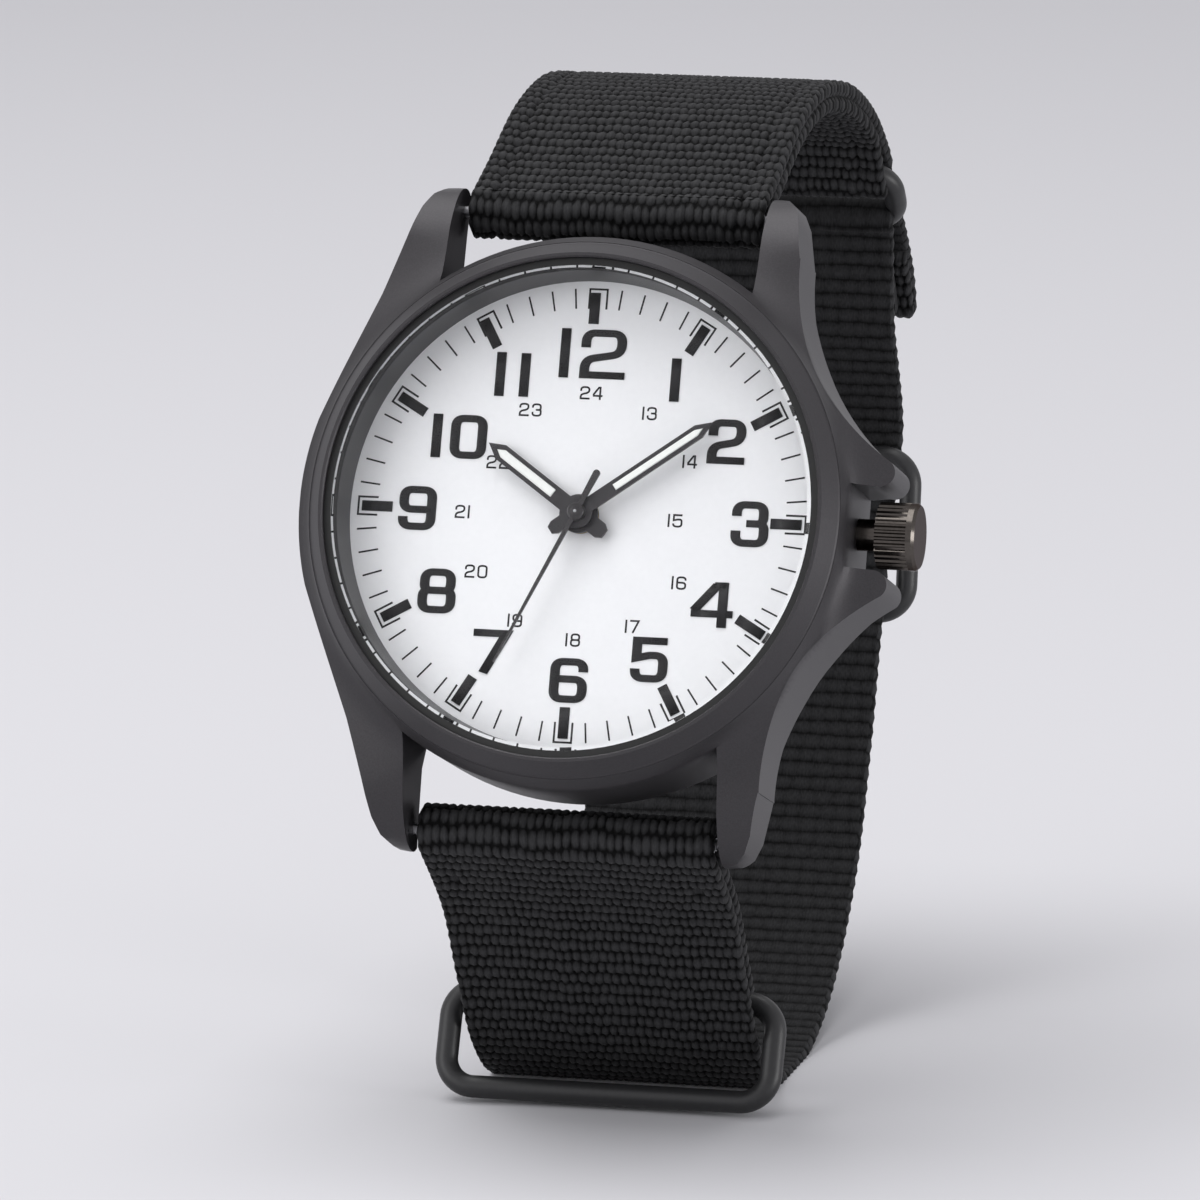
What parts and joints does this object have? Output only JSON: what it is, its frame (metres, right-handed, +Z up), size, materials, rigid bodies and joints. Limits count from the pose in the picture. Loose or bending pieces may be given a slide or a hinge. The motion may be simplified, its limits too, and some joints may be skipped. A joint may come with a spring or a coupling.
{
  "type": "analogue wrist watch",
  "caption": "Analogue field watch with a flat round dial, guarded side crown and fabric strap, standing on its closed strap with metal rings.",
  "frame": {"origin": "middle of the flat patch on which the closed strap rests", "axes": "+X to the crown at 3 o'clock, -Y towards the side that the dial faces, +Z up; the dial leans back by 20 degrees"},
  "size_m": [0.0432, 0.0728, 0.0699],
  "materials": {
    "case_metal": "bead-blasted and dark anodised",
    "crown_metal": "black nickel",
    "steel": "brushed",
    "brass": "turned",
    "copper": "enamelled copper wire",
    "glass": "polished flat",
    "gasket": "moulded",
    "black_plastic": "moulded",
    "white_plastic": "moulded",
    "board": "printed board",
    "dial_paint": "white lacquer",
    "black_paint": "satin black",
    "webbing": "woven nylon",
    "hook_tape": "hook and loop tape"
  },
  "bodies": {
    "case": {"case_middle": "case_metal", "bezel": "case_metal", "crystal": "glass", "crystal_gasket": "gasket", "rehaut": "black_plastic", "dial": "dial_paint", "case_back": "steel", "case_back_gasket": "gasket", "movement_holder": "white_plastic", "main_plate": "brass", "train_bridge": "steel", "movement_screws": "steel", "battery": "steel", "stator": "steel", "coil": "copper", "circuit_board": "board", "quartz_can": "steel", "crown_tube": "steel", "spring_bar_tubes": "steel", "spring_bar_springs": "steel", "upper_strap": "webbing", "lower_strap": "webbing", "loop_pad": "hook_tape", "closure_ring": "black_paint"},
    "seconds": {"seconds_hand": "black_paint", "seconds_wheel": "brass"},
    "minutes": {"minute_hand": "black_paint", "cannon_pinion": "steel", "centre_wheel": "brass"},
    "hours": {"hour_hand": "black_paint", "hour_wheel": "brass"},
    "minute_wheel_body": {"minute_wheel": "brass"},
    "third_wheel_body": {"third_wheel": "brass"},
    "fifth_wheel_body": {"fifth_wheel": "brass"},
    "rotor_body": {"rotor": "steel"},
    "setting": {"setting_lever": "steel"},
    "winding_crown": {"crown": "crown_metal", "stem": "steel", "crown_gasket": "gasket", "clutch_wheel": "steel"},
    "pin_upper_left": {"upper_left_pin": "steel"},
    "pin_upper_right": {"upper_right_pin": "steel"},
    "pin_lower_left": {"lower_left_pin": "steel"},
    "pin_lower_right": {"lower_right_pin": "steel"},
    "tail": {"strap_tail": "webbing", "hook_pad": "hook_tape"},
    "front_ring": {"front_keeper": "black_paint"},
    "back_ring": {"back_keeper": "black_paint"}
  },
  "joints": [
    {"name": "seconds_turn", "type": "hinge", "parent": "case", "child": "seconds", "pos_m": [0, -0.0213, 0.0438], "axis": [0, 0.9397, -0.342], "continuous": true},
    {"name": "minutes_turn", "type": "hinge", "parent": "case", "child": "minutes", "pos_m": [0, -0.0213, 0.0438], "axis": [0, 0.9397, -0.342], "continuous": true},
    {"name": "hours_turn", "type": "hinge", "parent": "case", "child": "hours", "pos_m": [0, -0.0213, 0.0438], "axis": [0, 0.9397, -0.342], "continuous": true},
    {"name": "third_wheel_turn", "type": "hinge", "parent": "case", "child": "third_wheel_body", "pos_m": [-0.00351, -0.02174, 0.0426], "axis": [0, 0.9397, -0.342], "continuous": true},
    {"name": "minute_wheel_turn", "type": "hinge", "parent": "case", "child": "minute_wheel_body", "pos_m": [0, -0.01993, 0.04756], "axis": [0, 0.9397, -0.342], "continuous": true},
    {"name": "fifth_wheel_turn", "type": "hinge", "parent": "case", "child": "fifth_wheel_body", "pos_m": [0.00315, -0.02192, 0.04209], "axis": [0, 0.9397, -0.342], "continuous": true},
    {"name": "rotor_turn", "type": "hinge", "parent": "case", "child": "rotor_body", "pos_m": [0.00585, -0.02246, 0.04062], "axis": [0, 0.9397, -0.342], "continuous": true},
    {"name": "crown_pull", "type": "slide", "parent": "case", "child": "setting", "axis": [1, 0, 0], "range_m": [0, 0.001]},
    {"name": "crown_turn", "type": "hinge", "parent": "setting", "child": "winding_crown", "pos_m": [0.021, -0.01895, 0.04294], "axis": [1, 0, 0], "continuous": true},
    {"name": "upper_left_pin_push", "type": "slide", "parent": "case", "child": "pin_upper_left", "axis": [1, 0, 0], "range_m": [0, 0.0009], "stiffness_N_per_m": 100, "springref_m": -0.001},
    {"name": "upper_right_pin_push", "type": "slide", "parent": "case", "child": "pin_upper_right", "axis": [-1, 0, 0], "range_m": [0, 0.0009], "stiffness_N_per_m": 100, "springref_m": -0.001},
    {"name": "lower_left_pin_push", "type": "slide", "parent": "case", "child": "pin_lower_left", "axis": [1, 0, 0], "range_m": [0, 0.0009], "stiffness_N_per_m": 100, "springref_m": -0.001},
    {"name": "lower_right_pin_push", "type": "slide", "parent": "case", "child": "pin_lower_right", "axis": [-1, 0, 0], "range_m": [0, 0.0009], "stiffness_N_per_m": 100, "springref_m": -0.001},
    {"name": "tail_peel", "type": "hinge", "parent": "case", "child": "tail", "pos_m": [0, 0.03529, 0.05737], "axis": [1, 0, 0], "range_deg": [-18, 75]},
    {"name": "front_ring_swing", "type": "hinge", "parent": "case", "child": "front_ring", "pos_m": [0, -0.013, 0.00432], "axis": [1, 0, 0], "range_deg": [-50, 5]},
    {"name": "back_ring_slide", "type": "slide", "parent": "case", "child": "back_ring", "axis": [0, 0.4695, 0.8829], "range_m": [-0.0015, 0.0015]}
  ],
  "couplings": [
    {"joint": "minutes_turn", "follows": "seconds_turn", "ratio": 0.016667},
    {"joint": "hours_turn", "follows": "seconds_turn", "ratio": 0.0013889},
    {"joint": "third_wheel_turn", "follows": "seconds_turn", "ratio": -0.13333},
    {"joint": "minute_wheel_turn", "follows": "seconds_turn", "ratio": -0.0055556},
    {"joint": "fifth_wheel_turn", "follows": "seconds_turn", "ratio": -6},
    {"joint": "rotor_turn", "follows": "seconds_turn", "ratio": 30}
  ]
}
